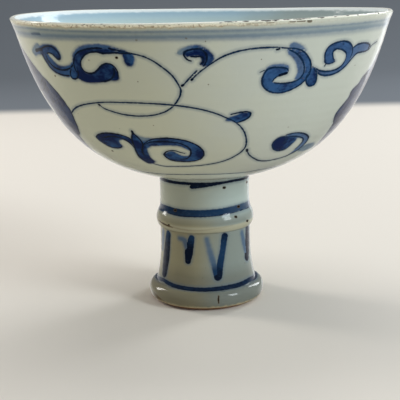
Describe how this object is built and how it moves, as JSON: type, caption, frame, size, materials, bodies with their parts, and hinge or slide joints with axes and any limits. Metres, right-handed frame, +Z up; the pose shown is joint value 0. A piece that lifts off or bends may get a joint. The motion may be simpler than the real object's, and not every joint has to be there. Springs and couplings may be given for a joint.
{
  "type": "stem cup",
  "caption": "Porcelain stem cup: a wide round bowl with a slightly flared lip on a hollow ridged stem, painted in underglaze blue with a lotus scroll.",
  "frame": {"origin": "on the cup's axis, in the flat face that the foot stands on", "axes": "+Z up along the axis that the bowl and stem are thrown on; -Y faces the viewer of the picture"},
  "size_m": [0.1516, 0.1514, 0.1185],
  "materials": {
    "porcelain": "bare fired clay, dry and slightly gritty, buff where the kiln flashed it",
    "slip": "fired slip, matt",
    "glaze": "glossy clear glaze with a faint blue-green tint over cobalt painting"
  },
  "bodies": {
    "root": {"bowl": "porcelain", "stem": "porcelain", "luting_slip": "slip", "bowl_outer_glaze": "glaze", "bowl_inner_glaze": "glaze", "stem_glaze": "glaze"}
  },
  "joints": []
}
